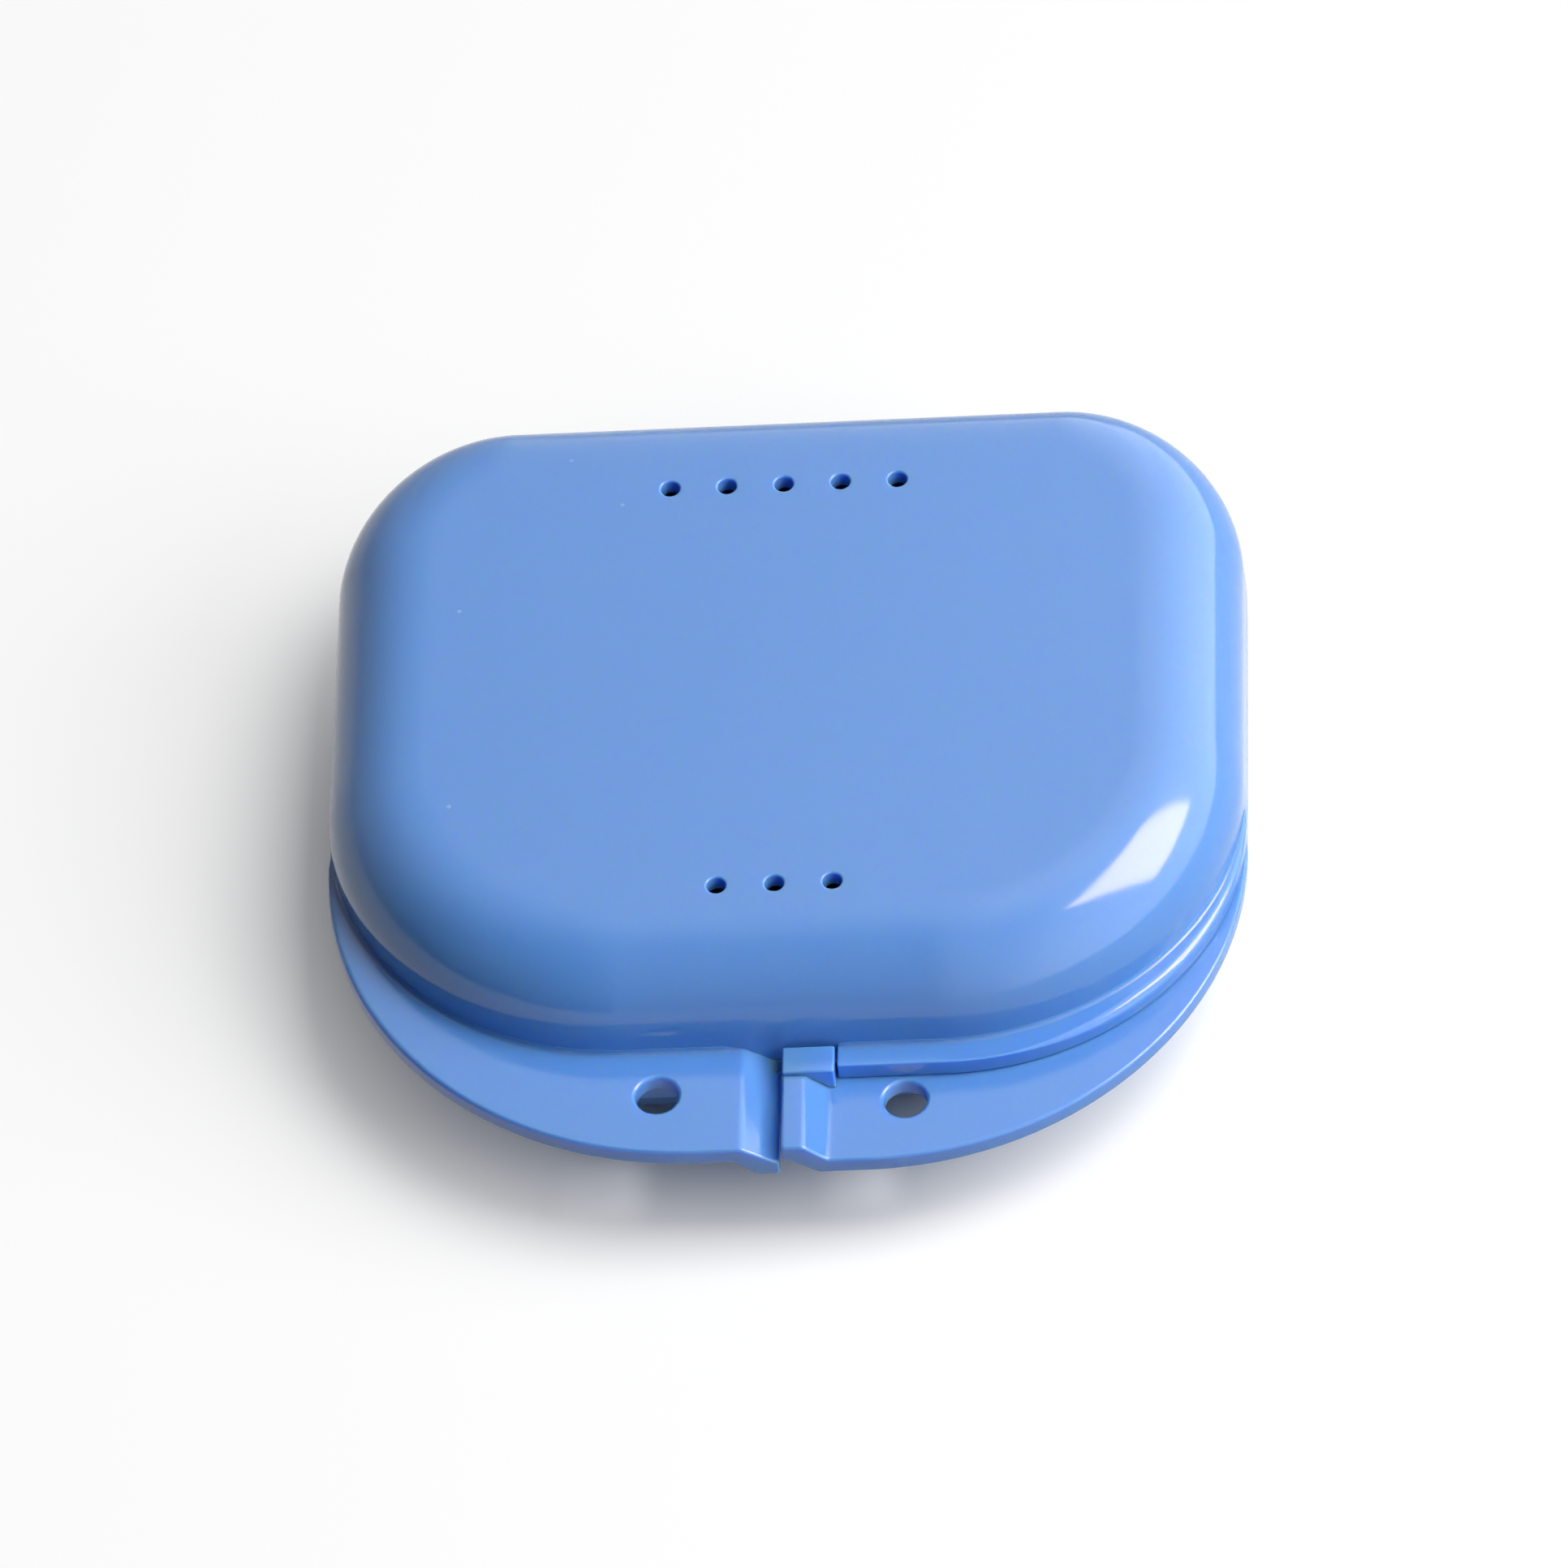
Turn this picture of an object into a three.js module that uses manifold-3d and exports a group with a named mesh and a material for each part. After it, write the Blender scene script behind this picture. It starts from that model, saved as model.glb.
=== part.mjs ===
// Orthodontic retainer case, closed, in millimetres, +Z up.
// It is two copies of one moulding. The lid is the base turned half a turn about the front-back axis that
// lies in the parting plane, so each half brings one half of the front flange, one latch hook, one latch
// ledge, one hinge pin and one hinge clip.
// The origin is the middle of the flat underside. The hinge is at the back (+Y) and the flange at the
// front (-Y).
import * as THREE from "three";
import { mergeVertices } from "three/addons/utils/BufferGeometryUtils.js";
import Module from "manifold-3d";

const wasm = await Module();
wasm.setup();

// Shell
const caseWidth = 80;
const frontDepth = 32.8;
const backDepth = 32.8;
const halfHeight = 11;
const wallThickness = 1.6;
const wallDraft = THREE.MathUtils.degToRad(2);
const edgeRadius = 5.8;
const frontCornerRadius = 26.5;
const backCornerRadius = 16;

// Fits between the two halves
const rimGap = 0.3;
const fitGap = 0.3;

// Flange, lip and the joggled flange end beside the split
const flangeThickness = 1.65;
const flangeReach = 10.9;
const flangeCornerRadius = 32.6;
const flangeEdgeRadius = 0.5;
const lipReach = 2.2;
const lipCornerRadius = 25.8;
const joggleTopEnd = 2.1;
const joggleTopFoot = 4.05;
const joggleUnderEnd = 0.5;
const joggleUnderFoot = 3.2;

// Latch
const hookLength = 4.5;
const hookReach = 3.1;
const hookRise = 0.5;
const noseThickness = 1.05;
const ledgeReach = 1;
const ledgeThickness = 0.8;

// Holes
const ventDiameter = 1.65;
const ventPitch = 5;
const ventRimChamfer = 0.3;
const backVentRow = 22.6;
const backVentCount = 5;
const frontVentRow = 22;
const frontVentCount = 3;
const flangeHoleDiameter = 3.7;
const flangeHoleSpread = 10.6;
const flangeHoleInset = 4.6;
const flangeHoleChamfer = 0.3;

// Hinge
const hingePinDiameter = 2.2;
const hingePinPlay = 0.25;
const hingeClipThickness = 0.95;
const hingeClipWidth = 8;
const hingeSpread = 15;
const hingeLugRadius = 2;
const hingeLugWidth = 2.5;
const hingeGussetDepth = 2;
const clipMouthDirection = THREE.MathUtils.degToRad(45);
const clipMouthHalfAngle = THREE.MathUtils.degToRad(42);

// How far joined pieces sink into each other, and how far cuts run past a face
const overrun = 0.6;

// Facets
const cornerSteps = 14;
const edgeSteps = 8;
const bandSteps = 26;
const bandEdgeSteps = 4;
const holeSteps = 28;
const ventSteps = 18;
const hingeSteps = 10;

// Sizes that follow
const halfWidth = caseWidth / 2;
const splitGap = rimGap / 2;
const mainTop = -rimGap / 2;
const mainBottom = mainTop - flangeThickness;
const raisedBottom = -mainTop;
const raisedTop = -mainBottom;
const hookTop = raisedTop + hookRise;
const hookEnd = splitGap + hookLength;
const lipStart = hookEnd + fitGap;
const rootInset = wallThickness / 2;
const hingeClipRadius = hingePinDiameter / 2 + hingePinPlay + hingeClipThickness;
const hingeAxisY = backDepth + fitGap + hingeClipRadius;

// Plastic
const bluePlastic = new THREE.MeshStandardMaterial({ color: 0x6f9bdf, roughness: 0.16, metalness: 0 });

// A geometry of points and triangles, with every face turned outward.
function closedGeometry(points, triangles) {
  const flat = points.flat();
  const corner = (i) => new THREE.Vector3().fromArray(flat, i * 3);
  let volume = 0;
  for (let i = 0; i < triangles.length; i += 3) {
    const [a, b, c] = triangles.slice(i, i + 3).map(corner);
    volume += a.dot(b.cross(c));
  }
  const facing = volume < 0 ? [...triangles].reverse() : triangles;
  return new THREE.BufferGeometry()
    .setAttribute("position", new THREE.Float32BufferAttribute(flat, 3))
    .setIndex(facing);
}

// A solid through rings of equally many points, closed at both ends by a fan about the ring's middle.
function loft(rings) {
  const count = rings[0].length;
  const points = rings.flat();
  const triangles = [];
  for (let ring = 0; ring + 1 < rings.length; ring++) {
    for (let i = 0; i < count; i++) {
      const a = ring * count + i;
      const b = ring * count + ((i + 1) % count);
      triangles.push(a, b, b + count, a, b + count, a + count);
    }
  }
  for (const [first, turned] of [[0, true], [(rings.length - 1) * count, false]]) {
    const ring = points.slice(first, first + count);
    const middle = points.push([0, 1, 2].map((k) => ring.reduce((sum, p) => sum + p[k], 0) / count)) - 1;
    for (let i = 0; i < count; i++) {
      const a = first + i;
      const b = first + ((i + 1) % count);
      triangles.push(...(turned ? [b, a, middle] : [a, b, middle]));
    }
  }
  return solidFrom(closedGeometry(points, triangles));
}

// A manifold solid from a closed three.js geometry.
function solidFrom(geometry) {
  const bare = geometry.clone();
  bare.deleteAttribute("normal");
  bare.deleteAttribute("uv");
  const merged = mergeVertices(bare);
  return new wasm.Manifold(
    new wasm.Mesh({
      numProp: 3,
      vertProperties: new Float32Array(merged.attributes.position.array),
      triVerts: new Uint32Array(merged.index.array),
    }),
  );
}

// A three.js geometry from a manifold solid.
function geometryFrom(solid) {
  const mesh = solid.getMesh();
  const geometry = new THREE.BufferGeometry()
    .setAttribute("position", new THREE.BufferAttribute(mesh.vertProperties, 3))
    .setIndex(new THREE.BufferAttribute(mesh.triVerts, 1));
  geometry.computeVertexNormals();
  return geometry;
}

// The D-shaped plan of the shell at the parting plane, moved inward by inset.
function plan(inset) {
  const backX = halfWidth - backCornerRadius;
  const backY = backDepth - backCornerRadius;
  const frontX = halfWidth - frontCornerRadius;
  const frontY = frontCornerRadius - frontDepth;
  const corners = [
    { x: backX, y: backY, radius: backCornerRadius, turn: 0 },
    { x: -backX, y: backY, radius: backCornerRadius, turn: 1 },
    { x: -frontX, y: frontY, radius: frontCornerRadius, turn: 2 },
    { x: frontX, y: frontY, radius: frontCornerRadius, turn: 3 },
  ];
  return corners.flatMap(({ x, y, radius, turn }) =>
    Array.from({ length: cornerSteps + 1 }, (_, i) => {
      const angle = ((turn + i / cornerSteps) * Math.PI) / 2;
      return [x + (radius - inset) * Math.cos(angle), y + (radius - inset) * Math.sin(angle)];
    }),
  );
}

// A cup shape inside the shell's outer surface by skin: a drafted wall, a round bottom edge and a flat
// bottom.
function cup(skin, topZ) {
  const centreZ = edgeRadius - halfHeight;
  const centreInset = (edgeRadius - centreZ * Math.sin(wallDraft)) / Math.cos(wallDraft);
  const radius = edgeRadius - skin;
  const levels = [{ inset: skin / Math.cos(wallDraft) - topZ * Math.tan(wallDraft), z: topZ }];
  for (let i = 0; i <= edgeSteps; i++) {
    const angle = wallDraft + (i / edgeSteps) * (Math.PI / 2 - wallDraft);
    levels.push({ inset: centreInset - radius * Math.cos(angle), z: centreZ - radius * Math.sin(angle) });
  }
  return loft(levels.map(({ inset, z }) => plan(inset).map(([x, y]) => [x, y, z])));
}

// The room that the other half takes above the rim, with its clearance.
function mateSpace() {
  const top = hookTop + overrun;
  return loft([mainTop, top].map((z) => plan(-fitGap).map(([x, y]) => [x, y, z])));
}

// A box between two corners.
function block(x0, x1, y0, y1, z0, z1) {
  const box = new THREE.BoxGeometry(Math.abs(x1 - x0), Math.abs(y1 - y0), Math.abs(z1 - z0));
  return solidFrom(box.translate((x0 + x1) / 2, (y0 + y1) / 2, (z0 + z1) / 2));
}

// Height that runs straight from one level to another between two places along X.
function ramp(x, end, foot, endZ, footZ) {
  return THREE.MathUtils.mapLinear(THREE.MathUtils.clamp(x, end, foot), end, foot, endZ, footZ);
}

const flangeTop = (x) => ramp(x, joggleTopEnd, joggleTopFoot, raisedTop, mainTop);
const flangeBottom = (x) => ramp(x, joggleUnderEnd, joggleUnderFoot, raisedBottom, mainBottom);

// Where a ray from a band's corner centre meets the middle of the shell's wall.
function wallAlongRay(centreX, centreY, angle) {
  const rayX = Math.sin(angle);
  const rayY = -Math.cos(angle);
  const straight = (centreY + frontDepth - rootInset) / -rayY;
  const cornerX = halfWidth - frontCornerRadius;
  if (rayY < 0 && centreX + straight * rayX <= cornerX) {
    return [centreX + straight * rayX, rootInset - frontDepth];
  }
  const toX = centreX - cornerX;
  const toY = centreY - (frontCornerRadius - frontDepth);
  const along = toX * rayX + toY * rayY;
  const radius = frontCornerRadius - rootInset;
  const distance = Math.sqrt(along * along - toX * toX - toY * toY + radius * radius) - along;
  return [centreX + distance * rayX, centreY + distance * rayY];
}

// A flat band that grows out of one side of the front wall, from startX round to the side of the case, where
// its tail sinks into the wall. Its outer edge is rounded. topAt and bottomAt give its two faces as heights
// along X.
function band({ side, startX, breaks, reach, cornerRadius, topAt, bottomAt }) {
  const centreX = halfWidth - cornerRadius;
  const centreY = cornerRadius - frontDepth - reach;
  const outerY = -frontDepth - reach;
  const stations = [startX, ...breaks].map((x) => ({
    outer: [x, outerY],
    root: [x, rootInset - frontDepth],
  }));
  for (let i = 0; i <= bandSteps; i++) {
    const angle = ((i / bandSteps) * Math.PI) / 2;
    const outer = [centreX + cornerRadius * Math.sin(angle), centreY - cornerRadius * Math.cos(angle)];
    stations.push({ outer, root: wallAlongRay(centreX, centreY, angle) });
  }
  const tailY = frontCornerRadius - frontDepth;
  stations.push({ outer: [halfWidth - rootInset / 2, tailY], root: [halfWidth - rootInset, tailY] });
  return loft(stations.map(({ outer, root }) => bandSection(side, outer, root, topAt, bottomAt)));
}

// One cross-section of a band: out along the top, round the outer edge and back along the underside.
function bandSection(side, outer, root, topAt, bottomAt) {
  const width = Math.hypot(outer[0] - root[0], outer[1] - root[1]);
  const out = [(outer[0] - root[0]) / width, (outer[1] - root[1]) / width];
  const at = (distance, faceAt, drop) => {
    const x = root[0] + out[0] * distance;
    return [side * x, root[1] + out[1] * distance, faceAt(x) + drop];
  };
  const section = [at(0, topAt, 0)];
  const reachIn = Math.min(flangeEdgeRadius, width / 2);
  for (let i = 0; i <= bandEdgeSteps; i++) {
    const angle = ((i / bandEdgeSteps) * Math.PI) / 2;
    const run = width - reachIn * (1 - Math.sin(angle));
    section.push(at(run, topAt, -flangeEdgeRadius * (1 - Math.cos(angle))));
  }
  for (let i = bandEdgeSteps; i >= 0; i--) {
    const angle = ((i / bandEdgeSteps) * Math.PI) / 2;
    const run = width - reachIn * (1 - Math.sin(angle));
    section.push(at(run, bottomAt, flangeEdgeRadius * (1 - Math.cos(angle))));
  }
  section.push(at(0, bottomAt, 0));
  return section;
}

// The wide half flange on the right, whose end beside the split steps up to the other half's level.
function halfFlange() {
  return band({
    side: 1,
    startX: splitGap,
    breaks: [joggleUnderEnd, joggleTopEnd, joggleUnderFoot, joggleTopFoot],
    reach: flangeReach,
    cornerRadius: flangeCornerRadius,
    topAt: flangeTop,
    bottomAt: flangeBottom,
  });
}

// The narrow lip on the left, which lies against the other half's flange.
function rimLip() {
  return band({
    side: -1,
    startX: lipStart,
    breaks: [],
    reach: lipReach,
    cornerRadius: lipCornerRadius,
    topAt: () => mainTop,
    bottomAt: () => mainBottom,
  });
}

// The latch hook: a post on the raised flange end that reaches back over the other half's ledge.
function latchHook() {
  const middle = (x) => (flangeTop(x) + flangeBottom(x)) / 2;
  const profile = new THREE.Shape();
  profile.moveTo(splitGap, hookTop);
  for (const x of [splitGap, joggleUnderEnd, joggleTopEnd, joggleUnderFoot, joggleTopFoot, hookEnd]) {
    profile.lineTo(x, middle(x));
  }
  profile.lineTo(hookEnd, hookTop);
  const depth = hookReach;
  const post = new THREE.ExtrudeGeometry(profile, { depth, bevelEnabled: false });
  post.rotateX(Math.PI / 2);
  post.translate(0, -frontDepth, 0);
  return solidFrom(post);
}

// The undercut behind the hook, which takes the other half's ledge.
function latchPocket() {
  return block(
    splitGap - overrun,
    hookEnd + overrun,
    -frontDepth,
    -frontDepth - ledgeReach - fitGap,
    mainTop,
    hookTop - noseThickness,
  );
}

// The ledge that the other half's hook holds: a thin strip that carries the lip on to the split.
function latchLedge() {
  return block(
    -splitGap - fitGap,
    -lipStart - overrun,
    -frontDepth + rootInset,
    -frontDepth - ledgeReach,
    mainTop,
    mainTop - ledgeThickness,
  );
}

// Extrudes an outline drawn in Y and Z along X.
function extrudeAcross(outline, fromX, width) {
  const turned = new THREE.Matrix4().makeBasis(
    new THREE.Vector3(0, 1, 0),
    new THREE.Vector3(0, 0, 1),
    new THREE.Vector3(1, 0, 0),
  );
  const solid = new THREE.ExtrudeGeometry(outline, {
    depth: width,
    bevelEnabled: false,
    curveSegments: hingeSteps,
  });
  return solidFrom(solid.applyMatrix4(turned).translate(fromX, 0, 0));
}

// Runs an arm's outline from below the round end back to the wall, with a sloping gusset.
function closeArm(outline, radius) {
  outline.lineTo(backDepth + overrun, -radius);
  outline.lineTo(backDepth, -radius - hingeGussetDepth);
  outline.lineTo(backDepth - rootInset, -radius - hingeGussetDepth);
}

// One lug that carries an end of the hinge pin.
function hingeLug(fromX) {
  const outline = new THREE.Shape();
  const start = Math.PI + Math.asin(-mainTop / hingeLugRadius);
  outline.moveTo(backDepth - rootInset, mainTop);
  outline.absarc(hingeAxisY, 0, hingeLugRadius, start, -Math.PI / 2, true);
  closeArm(outline, hingeLugRadius);
  return extrudeAcross(outline, fromX, hingeLugWidth);
}

// Two lugs and the pin between them, on the right.
function hingePin() {
  const inner = hingeSpread - hingeClipWidth / 2 - fitGap;
  const outer = hingeSpread + hingeClipWidth / 2 + fitGap;
  const length = outer - inner + hingeLugWidth;
  const radius = hingePinDiameter / 2;
  const pin = new THREE.CylinderGeometry(radius, radius, length, 2 * hingeSteps)
    .rotateZ(Math.PI / 2)
    .translate(hingeSpread, hingeAxisY, 0);
  return hingeLug(inner - hingeLugWidth).add(hingeLug(outer)).add(solidFrom(pin));
}

// The open clip on the left, which snaps over the other half's pin.
function hingeClip() {
  const outline = new THREE.Shape();
  const inside = hingePinDiameter / 2 + hingePinPlay;
  const start = Math.PI + Math.asin(-mainTop / hingeClipRadius);
  const mouthTop = clipMouthDirection + clipMouthHalfAngle;
  const mouthFoot = clipMouthDirection - clipMouthHalfAngle;
  outline.moveTo(backDepth - rootInset, mainTop);
  outline.absarc(hingeAxisY, 0, hingeClipRadius, start, mouthTop, true);
  outline.absarc(hingeAxisY, 0, inside, mouthTop, mouthFoot + 2 * Math.PI, false);
  outline.absarc(hingeAxisY, 0, hingeClipRadius, mouthFoot, -Math.PI / 2, true);
  closeArm(outline, hingeClipRadius);
  return extrudeAcross(outline, -hingeSpread - hingeClipWidth / 2, hingeClipWidth);
}

// A turned cutter along Z from a profile of radius and height that starts and ends on the axis.
function turned(profile, steps, x, y) {
  const points = profile.map(([radius, z]) => new THREE.Vector2(radius, z));
  const lathe = new THREE.LatheGeometry(points, steps);
  return solidFrom(lathe.rotateX(Math.PI / 2).translate(x, y, 0));
}

// A round vent through the flat bottom, with its outer rim eased.
function vent(x, y) {
  const radius = ventDiameter / 2;
  const face = -halfHeight;
  return turned(
    [
      [0, face - overrun],
      [radius + ventRimChamfer + overrun, face - overrun],
      [radius, face + ventRimChamfer],
      [radius, face + wallThickness + overrun],
      [0, face + wallThickness + overrun],
    ],
    ventSteps,
    x,
    y,
  );
}

// The vents: a long row near the hinge and a short row near the front.
function vents() {
  const rows = [
    { count: backVentCount, y: backVentRow },
    { count: frontVentCount, y: -frontVentRow },
  ];
  return rows.flatMap(({ count, y }) =>
    Array.from({ length: count }, (_, i) => vent((i - (count - 1) / 2) * ventPitch, y)),
  );
}

// The round hole through the half flange, eased on both faces.
function flangeHole() {
  const radius = flangeHoleDiameter / 2;
  const wide = radius + flangeHoleChamfer + overrun;
  return turned(
    [
      [0, mainBottom - overrun],
      [wide, mainBottom - overrun],
      [radius, mainBottom + flangeHoleChamfer],
      [radius, mainTop - flangeHoleChamfer],
      [wide, mainTop + overrun],
      [0, mainTop + overrun],
    ],
    holeSteps,
    flangeHoleSpread,
    -frontDepth - flangeHoleInset,
  );
}

// The one moulding, drawn as the base: parting plane at z = 0 and flat bottom at -halfHeight.
function halfCase() {
  const added = [halfFlange(), rimLip(), latchLedge(), latchHook(), hingePin(), hingeClip()];
  const cut = [cup(wallThickness, mainTop + overrun), mateSpace(), latchPocket(), flangeHole(), ...vents()];
  const joined = added.reduce((whole, piece) => whole.add(piece), cup(0, mainTop));
  return geometryFrom(cut.reduce((whole, piece) => whole.subtract(piece), joined));
}

function named(name, geometry) {
  const mesh = new THREE.Mesh(geometry, bluePlastic);
  mesh.name = name;
  return mesh;
}

const moulding = halfCase();

const retainerCase = new THREE.Group();
retainerCase.name = "retainer_case";

const base = named("base_shell", moulding);
base.position.z = halfHeight;
retainerCase.add(base);

const lid = named("lid_shell", moulding.clone());
lid.position.z = halfHeight;
lid.rotation.y = Math.PI;
retainerCase.add(lid);

export default retainerCase;
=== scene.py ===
from math import asin, cos, pi, radians, sin, tan

import bmesh
import bpy
import numpy as np
from mathutils import Matrix, Vector


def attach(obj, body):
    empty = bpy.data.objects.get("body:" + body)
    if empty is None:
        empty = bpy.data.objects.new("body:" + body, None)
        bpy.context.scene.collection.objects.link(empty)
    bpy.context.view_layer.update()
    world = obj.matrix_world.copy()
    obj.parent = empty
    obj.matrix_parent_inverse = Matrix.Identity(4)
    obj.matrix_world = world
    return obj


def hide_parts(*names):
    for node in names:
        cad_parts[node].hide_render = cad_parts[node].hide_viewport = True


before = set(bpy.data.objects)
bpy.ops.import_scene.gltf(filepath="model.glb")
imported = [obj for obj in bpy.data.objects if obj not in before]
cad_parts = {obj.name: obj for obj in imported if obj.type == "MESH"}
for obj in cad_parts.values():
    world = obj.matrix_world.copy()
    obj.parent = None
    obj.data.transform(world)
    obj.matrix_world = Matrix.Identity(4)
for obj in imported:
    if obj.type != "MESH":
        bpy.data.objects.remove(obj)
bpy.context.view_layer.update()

mm = 0.001  # shapes are worked out in millimetres and made metres at the end

# Both halves of the case are one moulding. It is drawn as the base: the parting plane is at height 0, the
# flat bottom below it, and the split between the two halves' flange ends at x = 0.

sunk = 0.8  # how far joined pieces reach into the wall


def closedPart(name, rings):
    # rings[j, i] is point i of ring j. Neighbouring rings are joined by quads and both ends are filled.
    rows, columns = rings.shape[:2]
    row, column = np.mgrid[0:rows - 1, 0:columns]
    here = row * columns + column
    beside = row * columns + (column + 1) % columns
    quads = np.stack([here, beside, beside + columns, here + columns], -1).reshape(-1, 4).tolist()
    ends = [list(range(columns))[::-1], list(range((rows - 1) * columns, rows * columns))]
    mesh = bpy.data.meshes.new(name)
    mesh.from_pydata(rings.reshape(-1, 3).tolist(), [], quads + ends)
    shape = bmesh.new()
    shape.from_mesh(mesh)
    bmesh.ops.recalc_face_normals(shape, faces=shape.faces)
    shape.to_mesh(mesh)
    shape.free()
    part = bpy.data.objects.new(name, mesh)
    bpy.context.collection.objects.link(part)
    return part


def combine(whole, parts, operation):
    for part in parts:
        step = whole.modifiers.new(part.name, "BOOLEAN")
        step.operation, step.solver, step.object = operation, "MANIFOLD", part
    graph = bpy.context.evaluated_depsgraph_get()
    made = bpy.data.meshes.new_from_object(whole.evaluated_get(graph))
    whole.modifiers.clear()
    whole.data = made
    for part in parts:
        bpy.data.objects.remove(part)


def quarter(steps):
    # angles of a quarter turn
    return np.linspace(0, pi / 2, steps + 1)


def raised(outline, height):
    # flat rings (x, y) with a height for each ring
    return np.concatenate([outline, np.broadcast_to(height[:, None, None], outline.shape[:2] + (1,))], -1)


def softOutline(corners, radius, steps=6):
    # each corner becomes a curve: a quadratic Bezier from a radius before the corner to a radius after it
    corner = np.array(corners, float)
    radius = np.broadcast_to(np.array(radius, float), len(corner))[:, None]
    before, after = np.roll(corner, 1, 0) - corner, np.roll(corner, -1, 0) - corner
    enter = corner + before / np.hypot(*before.T)[:, None] * radius
    leave = corner + after / np.hypot(*after.T)[:, None] * radius
    t = np.linspace(0, 1, steps + 1)[:, None]
    curve = (1 - t) ** 2 * enter[:, None] + 2 * t * (1 - t) * corner[:, None] + t ** 2 * leave[:, None]
    return curve.reshape(-1, 2)


def slab(name, outline, low, high, edge, along, steps=5):
    # An outline drawn across one axis and carried along it from low to high, its ends rounded: near an end it
    # is moved inward by edge * (1 - sin) while it advances by edge * (1 - cos).
    tangent = np.roll(outline, -1, 0) - np.roll(outline, 1, 0)
    inward = np.stack([-tangent[:, 1], tangent[:, 0]], -1) / np.hypot(*tangent.T)[:, None]
    nextX, nextY = np.roll(outline, -1, 0).T
    area = (outline[:, 0] * nextY - outline[:, 1] * nextX).sum()
    inward = inward * np.sign(area)
    bow = quarter(steps)
    shrink = np.concatenate([edge * (1 - np.sin(bow)), edge * (1 - np.sin(bow[::-1]))])
    place = np.concatenate([low + edge * (1 - np.cos(bow)), high - edge * (1 - np.cos(bow[::-1]))])
    flat = outline + inward * shrink[:, None, None]
    rest = np.broadcast_to(place[:, None], flat.shape[:2])
    order = [rest, flat[..., 0], flat[..., 1]] if along == "x" else [flat[..., 0], rest, flat[..., 1]]
    return closedPart(name, np.stack(order, -1))


# Cup: the D-shaped bowl

shell = {
    "halfWidth": 40, "front": 32.8, "back": 32.8, "height": 11, "wall": 1.6, "draft": radians(2),
    "edge": 8, "ease": 3, "backEdge": 5.36, "backEase": 6, "frontCorner": 26.5, "backCorner": 16,
    "rimTop": -0.05, "rimEdge": 0.18, "innerRimEdge": 0.35,
    "cornerSteps": 44, "easeSteps": 14, "edgeSteps": 24, "edgeSamples": 4000, "rimSteps": 5,
}


def dAngles():
    # the directions that the D's four corners turn through, a quarter each, from the back right one on
    return quarter(shell["cornerSteps"]) + np.arange(4)[:, None] * pi / 2


def dOutline(inset):
    # the D moved inward by inset, one ring per inset: corner centre + (radius - inset) * (cos, sin)
    backX, backY = shell["halfWidth"] - shell["backCorner"], shell["back"] - shell["backCorner"]
    frontX, frontY = shell["halfWidth"] - shell["frontCorner"], shell["frontCorner"] - shell["front"]
    centre = np.array([(backX, backY), (-backX, backY), (-frontX, frontY), (frontX, frontY)])
    radius = np.array([shell["backCorner"]] * 2 + [shell["frontCorner"]] * 2)
    angle = dAngles()
    reach = radius[:, None] - inset[:, None, None]
    ring = centre[:, None] + reach[..., None] * np.stack([np.cos(angle), np.sin(angle)], -1)
    return ring.reshape(len(inset), -1, 2)


def easedEdge(edge, ease):
    # The rounding from the flat to the wall as (inset, height, slope). The slope angle grows with the square
    # of the length over the ease, then evenly, until it meets the drafted wall. The curve is the sum of its
    # steps along the length, moved to end on the wall.
    draft = shell["draft"]
    end = edge * (pi / 2 - draft) + ease / 2
    length = np.linspace(0, end, shell["edgeSamples"] + 1)
    slope = np.where(length < ease, length ** 2 / (2 * ease * edge), (length - ease / 2) / edge)
    step = np.stack([-np.cos(slope), np.sin(slope)], -1)
    curve = np.concatenate([[[0, 0]], np.cumsum((step[1:] + step[:-1]) / 2 * length[1], 0)])
    foot = curve[-1, 1] - shell["height"]
    curve = curve - [curve[-1, 0] + foot * tan(draft), shell["height"]]
    eased = np.linspace(0, ease, shell["easeSteps"] + 1)
    even = np.linspace(ease, end, shell["edgeSteps"] + 1)
    kept = np.concatenate([eased, even[1:]])
    kept = np.rint(kept / length[1]).astype(int)
    return curve[kept, 0], curve[kept, 1], slope[kept]


def cupRings(edge, ease):
    # The profile (inset, height) runs from the outer flat round the edge, up the drafted wall, over the
    # rounded rim and down the inside to the inner flat, and is carried round the D.
    draft, top, wall = shell["draft"], shell["rimTop"], shell["wall"]
    edgeInset, edgeHeight, slope = easedEdge(edge, ease)
    rim = quarter(shell["rimSteps"])
    outerRim, innerRim = shell["rimEdge"], shell["innerRimEdge"]
    outerWall = -top * tan(draft)
    innerWall = wall / cos(draft) - top * tan(draft)
    inset = np.concatenate([
        edgeInset,
        outerWall + outerRim * (1 - np.cos(rim)),
        innerWall - innerRim * (1 - np.sin(rim)),
        (edgeInset + wall * np.sin(slope))[::-1],
    ])
    height = np.concatenate([
        edgeHeight,
        top - outerRim * (1 - np.sin(rim)),
        top - innerRim * (1 - np.cos(rim)),
        (edgeHeight + wall * np.cos(slope))[::-1],
    ])
    return raised(dOutline(inset), height)


def makeCup():
    # The edge is tighter along the back: a ring point's share of the back's rounding is the square of how far
    # back it faces.
    share = np.clip(np.sin(dAngles()), 0, 1).reshape(-1, 1) ** 2
    front, back = cupRings(shell["edge"], shell["ease"]), cupRings(shell["backEdge"], shell["backEase"])
    return closedPart("moulding", front * (1 - share) + back * share)


# Flange and lip: two bands round the front wall, the flange on the right and the lip on the left

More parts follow.
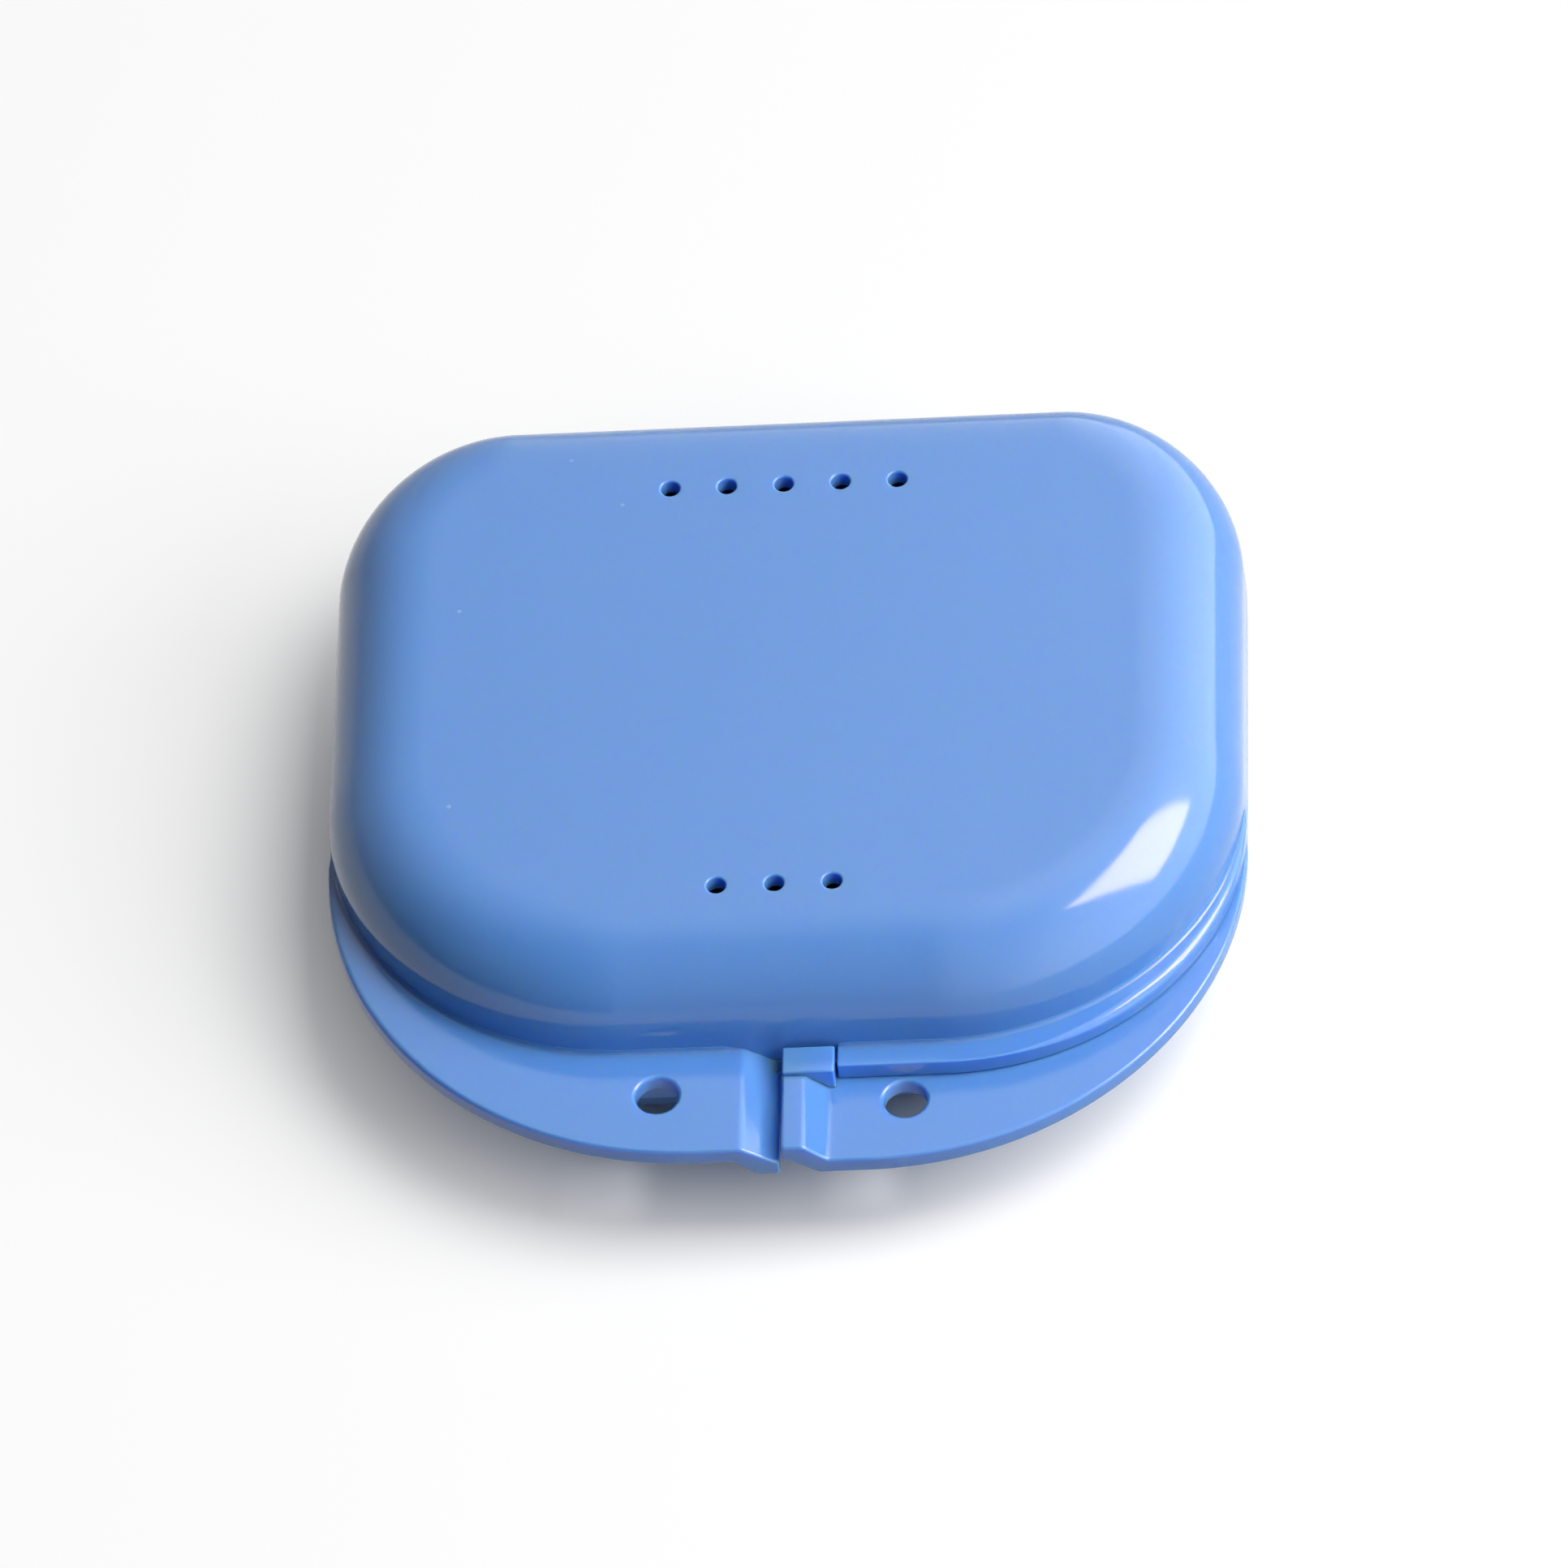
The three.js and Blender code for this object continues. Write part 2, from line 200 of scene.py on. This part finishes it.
split = {  # where along x the flange end steps up to the other half's level, above and below
    "gap": 0.15, "topEnd": 2.1, "topFoot": 4.05, "underEnd": 0.5, "underFoot": 3.2,
    "soften": 0.22, "softSteps": 9,
}
flange = {
    "start": 0.15, "reach": 10.9, "corner": 32.6, "thickness": 1.75, "edge": 0.28, "sideEdge": 0.5,
    "endEdge": 0.22, "fillet": 0.45, "filletFrom": 3.4, "arcSteps": 72,
}
lip = {
    "start": 4.85, "reach": 2.2, "corner": 25.8, "thickness": 1.75, "edge": 0.15, "sideEdge": 1.1,
    "endEdge": 0.18, "fillet": 0.35, "filletFrom": 4, "arcSteps": 60,
}
bands = {  # what both have alike
    "filletRun": 1.5, "leastFillet": 0.02, "leastStep": 0.01,
    "endSteps": 6, "frontSteps": 45, "edgeSteps": 7,
}


def ramp(x, end, foot, endHeight, footHeight):
    # straight from one height to the other, its two bends softened by averaging over a short run of x
    run = np.linspace(-split["soften"], split["soften"], split["softSteps"])
    share = np.clip((x[..., None] + run - end) / (foot - end), 0, 1)
    return (endHeight + (footHeight - endHeight) * share).mean(-1)


def wallOnRay(centreX, centreY, angle):
    # where rays from a band's corner centre meet a line sunk into the wall: its straight front or corner arc
    ray = np.stack([np.sin(angle), -np.cos(angle)], -1)
    cornerX, cornerY = shell["halfWidth"] - shell["frontCorner"], shell["frontCorner"] - shell["front"]
    forward = np.maximum(-ray[:, 1], 1e-9)  # never quite 0, for the division
    straight = (centreY + shell["front"] - sunk) / forward
    toCentre = np.array([centreX - cornerX, centreY - cornerY])
    along = ray @ toCentre
    radius = shell["frontCorner"] - sunk
    curved = np.sqrt(along ** 2 - toCentre @ toCentre + radius ** 2) - along
    distance = np.where(centreX + straight * ray[:, 0] <= cornerX, straight, curved)
    return np.array([centreX, centreY]) + distance[:, None] * ray


def bandRings(band, side, stepped):
    # A band round one side of the front wall. Stations run from the split to the tail. Each has a point on
    # the band's outer line and one on the root line in the wall, and a section between them that goes out on
    # the upper face, round the outer edge, back on the lower face and up a fillet to the wall.
    half, wallFront = shell["halfWidth"], -shell["front"]
    tail = shell["frontCorner"] - shell["front"]
    centreX, centreY = half - band["corner"], band["corner"] + wallFront - band["reach"]
    bow = quarter(bands["endSteps"])
    endX = band["start"] + band["endEdge"]
    nearX = np.concatenate([
        band["start"] + band["endEdge"] * (1 - np.cos(bow)),
        np.linspace(endX, centreX, bands["frontSteps"] + 1)[1:-1],
    ])
    angle = quarter(band["arcSteps"])
    outer = np.concatenate([
        np.stack([nearX, np.full_like(nearX, wallFront - band["reach"])], -1),
        np.stack([centreX + band["corner"] * np.sin(angle), centreY - band["corner"] * np.cos(angle)], -1),
        [[half - sunk / 2, tail]],
    ])
    root = np.concatenate([
        np.stack([nearX, np.full_like(nearX, sunk + wallFront)], -1),
        wallOnRay(centreX, centreY, angle),
        [[half - sunk, tail]],
    ])
    shrink = np.zeros((len(outer), 1))  # draws the first sections in, which rounds the end at the split
    shrink[:len(bow), 0] = band["endEdge"] * (1 - np.sin(bow))
    width = np.hypot(*(outer - root).T)[:, None]
    out = (outer - root) / width
    width = width - shrink
    x = outer[:, :1]

    # the lower edge gets rounder towards the side, and neither edge takes over a third of the band
    fade = np.clip((x - half / 2) / (half / 3), 0, 1)
    upperEdge = np.minimum(band["edge"], width / 3)
    lowerEdge = np.minimum(band["edge"] + (band["sideEdge"] - band["edge"]) * fade, width / 3)
    least = bands["leastFillet"]
    grown = np.clip((x - band["filletFrom"]) / bands["filletRun"], 0, 1)
    fillet = np.clip(band["fillet"] * grown, least, None)
    fillet = np.clip(width - lowerEdge - sunk, least, fillet)
    wall = np.minimum(sunk, width - lowerEdge - fillet - bands["leastStep"])

    turn = quarter(bands["edgeSteps"])
    zero = np.zeros_like(width)
    distance = np.concatenate([
        zero,
        width - upperEdge * (1 - np.sin(turn)),
        width - lowerEdge * (1 - np.sin(turn[::-1])),
        wall + fillet * (1 - np.sin(turn)),
        zero,
    ], -1)
    lift = np.concatenate([
        -shrink + zero,
        -shrink - upperEdge * (1 - np.cos(turn)),
        shrink + lowerEdge * (1 - np.cos(turn[::-1])),
        shrink - fillet * (1 - np.cos(turn)),
        shrink - fillet,
    ], -1)
    point = root[:, None] + out[:, None] * distance[..., None]
    top, bottom = shell["rimTop"], shell["rimTop"] - band["thickness"]
    onTop = np.arange(distance.shape[1]) <= len(turn)
    if stepped:
        upper = ramp(point[..., 0], split["topEnd"], split["topFoot"], -bottom, top)
        lower = ramp(point[..., 0], split["underEnd"], split["underFoot"], -top, bottom)
        height = np.where(onTop, upper, lower) + lift
    else:
        height = np.where(onTop, top, bottom) + lift
    return np.concatenate([point * [side, 1], height[..., None]], -1)


# Latch: a hook beside the split, the slot behind it that takes the other half, and a ledge for its hook

hook = {
    "length": 4.5, "front": 3.1, "back": 0.3, "top": 2.3, "nose": 1.05, "catch": 1.3,
    "edge": 0.22, "corner": 0.24, "bend": 0.06,
}
slot = {"side": 0.6, "above": 1, "behind": 2, "floor": 0.01}
ledge = {"from": -5.6, "to": -0.45, "reach": 1, "thickness": 0.8, "edge": 0.12}


def latchHook():
    # Seen from the front the hook is a block whose underside runs midway between the flange's two faces.
    left, right, top = split["gap"], split["gap"] + hook["length"], hook["top"]
    low, high = shell["rimTop"], -shell["rimTop"] + flange["thickness"]
    bends = np.array([
        right, split["topFoot"], split["underFoot"], split["topEnd"], split["underEnd"], left])
    upper = np.interp(bends, [split["topEnd"], split["topFoot"]], [high, low])
    lower = np.interp(bends, [split["underEnd"], split["underFoot"]], [-low, -high])
    corners = [(left, top), (right, top)] + list(zip(bends, (upper + lower) / 2))
    radii = [hook["corner"]] * 2 + [hook["bend"]] * len(bends)
    front = -shell["front"]
    low, high = front - hook["front"], front - hook["back"]
    return slab("hook", softOutline(corners, radii), low, high, hook["edge"], "y")


def latchSlot():
    # the room behind the hook: the other half's ledge below, the other half's wall above
    front, low, under = -shell["front"], shell["rimTop"] + slot["floor"], hook["top"] - hook["nose"]
    catch, back = front - hook["catch"], front - hook["back"]
    inside, top = front + slot["behind"], hook["top"] + slot["above"]
    corners = [(catch, low), (catch, under), (back, under), (back, top), (inside, top), (inside, low)]
    left, right = split["gap"] - slot["side"], split["gap"] + hook["length"] + slot["side"]
    return slab("slot", np.array(corners), left, right, 0, "x")


def latchLedge():
    front, top = -shell["front"], shell["rimTop"]
    low, out, back = top - ledge["thickness"], front - ledge["reach"], front + sunk
    outline = softOutline([(out, top), (out, low), (back, low), (back, top)], ledge["edge"])
    return slab("ledge", outline, ledge["from"], ledge["to"], ledge["edge"], "x")


# Hinge: a pin between two lugs on the right, an open clip on the left

hinge = {
    "y": 35.4, "spread": 15, "pin": 1.1, "lug": 2, "lugWidth": 2.5, "clip": 2.3, "bore": 1.35,
    "clipWidth": 8, "gap": 0.3, "gusset": 2, "armReach": 0.6, "pinReach": 1,
    "mouth": radians(45), "mouthHalf": radians(42), "edge": 0.22, "pinEdge": 0.1, "clipEdge": 0.12,
    "lugPoints": 40, "pinPoints": 48, "clipPoints": (24, 48, 22),
}


def arcPoints(radius, start, end, points):
    # an arc round the hinge line: (line + radius * cos, radius * sin)
    angle = np.linspace(start, end, points)
    return np.stack([hinge["y"] + radius * np.cos(angle), radius * np.sin(angle)], -1)


def armFoot(radius):
    # from under the round of a lug or clip back to the wall, and down a gusset
    back, drop = shell["back"], -radius - hinge["gusset"]
    out = back + hinge["armReach"]
    return [(out, -radius), (back, drop), (back - sunk, drop), (back - sunk, shell["rimTop"])]


def hingeParts():
    start = pi + asin(-shell["rimTop"] / hinge["lug"])
    lug = np.concatenate([
        arcPoints(hinge["lug"], start, -pi / 2, hinge["lugPoints"]), armFoot(hinge["lug"])])
    reach = hinge["clipWidth"] / 2 + hinge["gap"]
    low, high = hinge["spread"] - reach, hinge["spread"] + reach
    circle = arcPoints(hinge["pin"], 0, 2 * pi, hinge["pinPoints"] + 1)[:-1]
    pinEnds = low - hinge["pinReach"], high + hinge["pinReach"]
    parts = [
        slab("lugInner", lug, low - hinge["lugWidth"], low, hinge["edge"], "x"),
        slab("lugOuter", lug, high, high + hinge["lugWidth"], hinge["edge"], "x"),
        slab("pin", circle, *pinEnds, hinge["pinEdge"], "x"),
    ]
    top, foot = hinge["mouth"] + hinge["mouthHalf"], hinge["mouth"] - hinge["mouthHalf"]
    start = pi + asin(-shell["rimTop"] / hinge["clip"])
    outside, inside, under = hinge["clipPoints"]
    clip = np.concatenate([
        arcPoints(hinge["clip"], start, top, outside),
        arcPoints(hinge["bore"], top, foot + 2 * pi, inside),
        arcPoints(hinge["clip"], foot, -pi / 2, under),
        armFoot(hinge["clip"]),
    ])
    half = hinge["clipWidth"] / 2
    clipEnds = -hinge["spread"] - half, -hinge["spread"] + half
    return parts + [slab("clip", clip, *clipEnds, hinge["clipEdge"], "x")]


# Holes: two rows of vents in the flat and one hole in the flange

vents = {
    "radius": 0.825, "pitch": 5, "rows": {22.6: 5, -22: 3},  # y of a row, and how many
    "outerRim": 0.2, "innerRim": 0.12, "steps": 40,
}
hole = {"radius": 1.85, "x": 10.6, "y": -37.4, "rim": 0.38, "steps": 64}


def flare(radius, rim, face, outward, turn=radians(78), steps=7):
    # (radius, height) of a rounded hole rim: the bore widens by rim * (1 - cos) while it nears the face by
    # rim * sin, and runs on past the face. outward is the face's direction.
    angle = np.linspace(0, turn, steps + 1)
    rounded = np.stack([radius + rim * (1 - np.cos(angle)), face - outward * rim * (1 - np.sin(angle))], -1)
    slope = np.array([sin(angle[-1]), outward * cos(angle[-1])])
    past = rounded[-1] + slope * rim
    return np.concatenate([rounded, [past, past + [0, outward * rim * 2]]])


def turned(name, profile, x, y, steps):
    # a profile of (radius, height) turned about an upright axis at x, y
    radius, height = np.array(profile).T
    angle = np.linspace(0, 2 * pi, steps, endpoint=False)
    ring = radius[:, None, None] * np.stack([np.cos(angle), np.sin(angle)], -1) + [x, y]
    return closedPart(name, raised(ring, height))


def ventCutters():
    bottom, inside = -shell["height"], shell["wall"] - shell["height"]
    lower = flare(vents["radius"], vents["outerRim"], bottom, -1)[::-1]
    upper = flare(vents["radius"], vents["innerRim"], inside, 1)
    places = [
        ((i - (count - 1) / 2) * vents["pitch"], y)
        for y, count in vents["rows"].items() for i in range(count)]
    return [turned("vent", np.concatenate([lower, upper]), x, y, vents["steps"]) for x, y in places]


def flangeHole():
    top, bottom = shell["rimTop"], shell["rimTop"] - flange["thickness"]
    lower = flare(hole["radius"], hole["rim"], bottom, -1)[::-1]
    upper = flare(hole["radius"], hole["rim"], top, 1)
    return turned("hole", np.concatenate([lower, upper]), hole["x"], hole["y"], hole["steps"])


# The moulding, and its two places in the case

crisp = radians(34)  # bends sharper than this keep a hard line in the shading


def makeMoulding():
    whole = makeCup()
    joined = [
        closedPart("flange", bandRings(flange, 1, True)),
        closedPart("lip", bandRings(lip, -1, False)),
        latchLedge(), latchHook(),
    ]
    combine(whole, joined + hingeParts(), "UNION")
    combine(whole, [latchSlot(), flangeHole()] + ventCutters(), "DIFFERENCE")
    return whole


def place(moulding, name, turn, body, node):
    # a copy of the moulding in the case's own frame, in metres
    mesh = moulding.data.copy()
    mesh.transform(Matrix.Scale(mm, 4) @ Matrix.Translation((0, 0, shell["height"])) @ turn)
    mesh.shade_smooth()
    mesh.set_sharp_from_angle(angle=crisp)
    piece = bpy.data.objects.new(name, mesh)
    bpy.context.collection.objects.link(piece)
    even = piece.modifiers.new("even shading", "WEIGHTED_NORMAL")
    even.keep_sharp = True
    even.weight = 100  # the large flat faces rule the shading next to them
    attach(piece, body)
    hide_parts(node)
    return piece


print("moulding")
moulding = makeMoulding()
print("  faces", len(moulding.data.polygons))
baseHalf = place(moulding, "base_moulding", Matrix.Identity(4), "base", "base_shell")
lidHalf = place(moulding, "lid_moulding", Matrix.Rotation(pi, 4, "Y"), "lid", "lid_shell")
bpy.data.objects.remove(moulding)

# Plastic

plastic = {
    "colour": (0.113, 0.302, 0.7), "deepColour": (0.107, 0.29, 0.678), "cloudScale": 38.0,
    "glow": (0.12, 0.35, 1.0), "glowDepth": 0.002,  # light spreads inside by these shares of a depth, in m
    "index": 1.5, "roughness": 0.1, "haze": 0.05, "hazeScale": 110.0,
    "ripple": 0.00001, "rippleScale": 260.0,
    "hairlines": ((0.5, 2600, 60), (2.1, 2200, 45)),  # direction, how fine across and how fine along
    "hairlineTilt": (0.3, 0.2), "hairlineStops": [(0.70, 0), (0.76, 1)], "wearStops": [(0.45, 0), (0.65, 1)],
    "scratchRoughness": 0.12, "scratchDepth": 0.0000006,
    "dustColour": (0.19, 0.39, 0.72), "dustRoughness": 0.3, "dustScale": 210.0,
    # a speck's radius in its cell, the share of cells that hold one, and how much of the blue it hides
    "dustSize": 0.045, "dustShare": 0.09, "dustCover": 0.75,
}


class Signal:
    # a shader socket that can be used in sums
    def __init__(self, shader, socket):
        self.shader, self.socket = shader, socket

    def maths(self, operation, first, second):
        return self.shader.add("ShaderNodeMath", {"operation": operation}, {0: first, 1: second})

    def __add__(self, other):
        return self.maths("ADD", self, other)

    def __sub__(self, other):
        return self.maths("SUBTRACT", self, other)

    def __rsub__(self, other):
        return self.maths("SUBTRACT", other, self)

    def __mul__(self, other):
        return self.maths("MULTIPLY", self, other)

    __radd__, __rmul__ = __add__, __mul__


class Shader:
    def __init__(self, owner):
        self.owner = owner
        owner.use_nodes = True
        self.tree = owner.node_tree
        self.tree.nodes.clear()

    def add(self, kind, settings, inputs, output=0):
        # a node of this kind: its settings first, then its sockets' values or links
        node = self.tree.nodes.new(kind)
        for key, value in settings.items():
            if key == "stops":
                stops = node.color_ramp.elements
                for position, _ in value[2:]:
                    stops.new(position)
                for stop, (position, level) in zip(stops, value):
                    stop.position, stop.color = position, (level, level, level, 1)
            else:
                setattr(node, key, value)
        for key, value in inputs.items():
            if isinstance(value, Signal):
                self.tree.links.new(value.socket, node.inputs[key])
            else:
                node.inputs[key].default_value = value
        return Signal(self, node.outputs[output])

    def finish(self, surface, kind="ShaderNodeOutputMaterial"):
        output = self.tree.nodes.new(kind)
        self.tree.links.new(surface.socket, output.inputs["Surface"])
        return self.owner

    def noise(self, place, scale, detail):
        return self.add("ShaderNodeTexNoise", {}, {"Vector": place, "Scale": scale, "Detail": detail})

    def smooth(self, value, low, high):
        # 0 up to low, 1 from high on, an S-curve between
        return self.add("ShaderNodeMapRange", {"interpolation_type": "SMOOTHSTEP"}, {
            "Value": value, "From Min": low, "From Max": high})


def scratchMask(shader, place, turn, across, along):
    # long thin noise cells, stretched along one direction and cut down to hairlines
    stretched = shader.add("ShaderNodeMapping", {}, {
        "Vector": place, "Rotation": plastic["hairlineTilt"] + (turn,), "Scale": (along, across, across)})
    streaks = shader.noise(stretched, 1.0, 1.0)
    return shader.add("ShaderNodeValToRGB", {"stops": plastic["hairlineStops"]}, {0: streaks})


def bluePlastic():
    shader = Shader(bpy.data.materials.new("blue plastic"))
    place = shader.add("ShaderNodeTexCoord", {}, {}, "Object")
    cloud = shader.noise(place, plastic["cloudScale"], 3.0)
    haze = shader.noise(place, plastic["hazeScale"], 4.0)
    ripple = shader.noise(place, plastic["rippleScale"], 1.0)

    # hairline scratches in two directions, only where the haze is thick
    oneWay, otherWay = (scratchMask(shader, place, *lines) for lines in plastic["hairlines"])
    wear = shader.add("ShaderNodeValToRGB", {"stops": plastic["wearStops"]}, {0: haze})
    scratches = (oneWay + otherWay) * wear

    # a speck of dust in the middle of a few cells
    cells = {"Vector": place, "Scale": plastic["dustScale"]}
    toSpeck = shader.add("ShaderNodeTexVoronoi", {}, cells, "Distance")
    chance = shader.add("ShaderNodeTexVoronoi", {}, cells, "Color")
    chance = shader.add("ShaderNodeSeparateColor", {}, {0: chance})
    near = shader.add("ShaderNodeMath", {"operation": "LESS_THAN"}, {0: toSpeck, 1: plastic["dustSize"]})
    rare = shader.add("ShaderNodeMath", {"operation": "LESS_THAN"}, {0: chance, 1: plastic["dustShare"]})
    dust = near * rare

    body = shader.add("ShaderNodeMix", {"data_type": "RGBA"}, {
        0: cloud, 6: plastic["colour"] + (1,), 7: plastic["deepColour"] + (1,)}, 2)
    dusty = shader.add("ShaderNodeMix", {"data_type": "RGBA"}, {
        0: dust * plastic["dustCover"], 6: body, 7: plastic["dustColour"] + (1,)}, 2)
    rougher = haze * plastic["haze"] + scratches * plastic["scratchRoughness"]
    rougher = rougher + dust * plastic["dustRoughness"] + plastic["roughness"]
    rippled = shader.add("ShaderNodeBump", {}, {
        "Strength": 1.0, "Distance": plastic["ripple"], "Height": ripple})
    scratched = shader.add("ShaderNodeBump", {"invert": True}, {
        "Strength": 1.0, "Distance": plastic["scratchDepth"], "Height": scratches, "Normal": rippled})
    surface = shader.add("ShaderNodeBsdfPrincipled", {}, {
        "Base Color": dusty, "Roughness": rougher, "Normal": scratched,
        "IOR": plastic["index"], "Subsurface Weight": 1.0, "Subsurface Radius": plastic["glow"],
        "Subsurface Scale": plastic["glowDepth"]})
    return shader.finish(surface)


print("plastic")
blue = bluePlastic()
for piece in (baseHalf, lidHalf):
    piece.data.materials.clear()
    piece.data.materials.append(blue)

# Studio

studio = {
    # The floor is plain grey to the light. The eye and the gloss see it pale, with a shadow near the case and
    # a share of flat white farther out.
    "floorSize": 8, "floorColour": 0.4, "shadowColour": 0.95,
    "white": 0.62, "nearRadius": 0.03, "farRadius": 0.06,
    "window": {  # seen in the gloss only
        "centre": (0.726, 0.094, 0.681), "across": (0.81, 0.005, -0.59), "up": (0.145, 0.967, 0.21),
        "size": (0.69, 0.55), "radiance": 13.4, "tint": (1, 0.76, 0.55), "mirrored": True,
    },
    "key": {
        "centre": (0.797, -0.187, 0.574), "across": (0.228, 0.974, 0), "up": (-0.558, 0.131, 0.819),
        "size": (0.95, 0.5), "radiance": 6.1, "tint": (1, 1, 1), "mirrored": False,
    },
    "fill": {
        "centre": (0.423, 0, 0.906), "across": (0, 1, 0), "up": (-0.906, 0, 0.423),
        "size": (0.5, 0.5), "radiance": 8.4, "tint": (1, 1, 1), "mirrored": False,
    },
    "ambient": 0.05, "brightest": 5.4,
    # the surroundings mirrored in the gloss, from the left (0) to the right (1), as shares of the brightest
    "behind": [
        (0.15, 0.15), (0.325, 0.21), (0.425, 0.24), (0.5, 0.67), (0.65, 0.74), (0.825, 0.9), (0.975, 0.95)],
    "before": [
        (0.15, 0.02), (0.325, 0.02), (0.425, 0.03), (0.5, 0.27), (0.65, 0.37), (0.825, 0.68), (0.975, 0.8)],
    "beforeUpTo": -0.3, "behindFrom": 0.5,  # along y, with a smooth change between them
}
view = {  # where the photograph was taken from, in degrees and millimetres
    "azimuth": 7.32, "elevation": 50.95, "roll": 8.02, "distance": 1236.75, "right": 0.52, "up": 1.85,
    "focalPixels": 17450.5, "pixels": 1932, "sensor": 36, "clip": (0.01, 20),
}


def makeFloor():
    half = studio["floorSize"] / 2
    corners = [(-half, -half, 0), (half, -half, 0), (half, half, 0), (-half, half, 0)]
    mesh = bpy.data.meshes.new("floor")
    mesh.from_pydata(corners, [], [(0, 1, 2, 3)])
    floor = bpy.data.objects.new("floor", mesh)
    bpy.context.collection.objects.link(floor)
    shader = Shader(bpy.data.materials.new("pale floor"))
    camera = shader.add("ShaderNodeLightPath", {}, {}, "Is Camera Ray")
    glossy = shader.add("ShaderNodeLightPath", {}, {}, "Is Glossy Ray")
    through = shader.add("ShaderNodeLightPath", {}, {}, "Is Transmission Ray")
    grey, pale = ((studio[name],) * 3 + (1,) for name in ("floorColour", "shadowColour"))
    plain = shader.add("ShaderNodeBsdfDiffuse", {}, {"Color": grey})
    shadowed = shader.add("ShaderNodeBsdfDiffuse", {}, {"Color": pale})
    white = shader.add("ShaderNodeEmission", {}, {"Color": (1, 1, 1, 1), "Strength": 1.0})
    place = shader.add("ShaderNodeTexCoord", {}, {}, "Object")
    away = shader.add("ShaderNodeVectorMath", {"operation": "LENGTH"}, {0: place}, "Value")
    spread = shader.smooth(away, studio["nearRadius"], studio["farRadius"])
    shown = shader.add("ShaderNodeMixShader", {}, {0: spread * studio["white"], 1: shadowed, 2: white})
    seen = shader.add("ShaderNodeMath", {"operation": "ADD", "use_clamp": True}, {
        0: camera + glossy, 1: through})
    mixed = shader.add("ShaderNodeMixShader", {}, {0: seen, 1: plain, 2: shown})
    mesh.materials.append(shader.finish(mixed))


def makeSky():
    # A dim even light. The gloss sees brighter surroundings instead, dark on the left and pale on the right.
    shader = Shader(bpy.data.worlds.new("studio"))
    glossy = shader.add("ShaderNodeLightPath", {}, {}, "Is Glossy Ray")
    direction = shader.add("ShaderNodeTexCoord", {}, {}, "Generated")
    x, y = (shader.add("ShaderNodeSeparateXYZ", {}, {0: direction}, axis) for axis in "XY")
    across = x * 0.5 + 0.5  # from -1..1 to 0..1
    behind = shader.add("ShaderNodeValToRGB", {"stops": studio["behind"]}, {0: across})
    before = shader.add("ShaderNodeValToRGB", {"stops": studio["before"]}, {0: across})
    back = shader.smooth(y, studio["beforeUpTo"], studio["behindFrom"])
    mirrored = (behind * back + before * (1 - back)) * studio["brightest"]
    level = mirrored * glossy + (1 - glossy) * studio["ambient"]
    light = shader.add("ShaderNodeBackground", {}, {"Strength": level})
    bpy.context.scene.world = shader.finish(light, "ShaderNodeOutputWorld")


def makeLamp(name):
    # a rectangular soft light that is either seen in the gloss or lights the plastic
    settings = studio[name]
    across, up = Vector(settings["across"]).normalized(), Vector(settings["up"]).normalized()
    width, height = settings["size"]
    lamp = bpy.data.lights.new(name, "AREA")
    lamp.shape = "RECTANGLE"
    lamp.size, lamp.size_y = width, height
    lamp.energy = settings["radiance"] * pi * width * height  # watts that give this radiance
    lamp.color = settings["tint"]
    holder = bpy.data.objects.new(name, lamp)
    turn = Matrix((across, up, across.cross(up))).transposed().to_4x4()
    holder.matrix_world = Matrix.Translation(settings["centre"]) @ turn
    holder.visible_camera = False
    holder.visible_glossy = settings["mirrored"]
    holder.visible_diffuse = not settings["mirrored"]
    bpy.context.collection.objects.link(holder)


def makeCamera():
    azimuth, elevation, roll = (radians(view[key]) for key in ("azimuth", "elevation", "roll"))
    back = Vector((sin(azimuth) * cos(elevation), -cos(azimuth) * cos(elevation), sin(elevation)))
    level = Vector((cos(azimuth), sin(azimuth), 0))
    above = back.cross(level)
    right = level * cos(roll) - above * sin(roll)
    up = level * sin(roll) + above * cos(roll)
    aim = Vector((0, 0, shell["height"]))  # the middle of the case, at the height of the seam
    stand = back * view["distance"] - right * view["right"] - up * view["up"] + aim
    lens = bpy.data.cameras.new("camera")
    lens.sensor_width = view["sensor"]
    lens.lens = view["focalPixels"] * view["sensor"] / view["pixels"]
    lens.clip_start, lens.clip_end = view["clip"]
    camera = bpy.data.objects.new("camera", lens)
    turn = Matrix((right, up, back)).transposed().to_4x4()
    camera.matrix_world = Matrix.Translation(stand * mm) @ turn
    bpy.context.collection.objects.link(camera)
    bpy.context.scene.camera = camera


print("studio")
makeFloor()
makeSky()
for name in ("window", "key", "fill"):
    makeLamp(name)
makeCamera()
bpy.context.scene.view_settings.view_transform = "Standard"
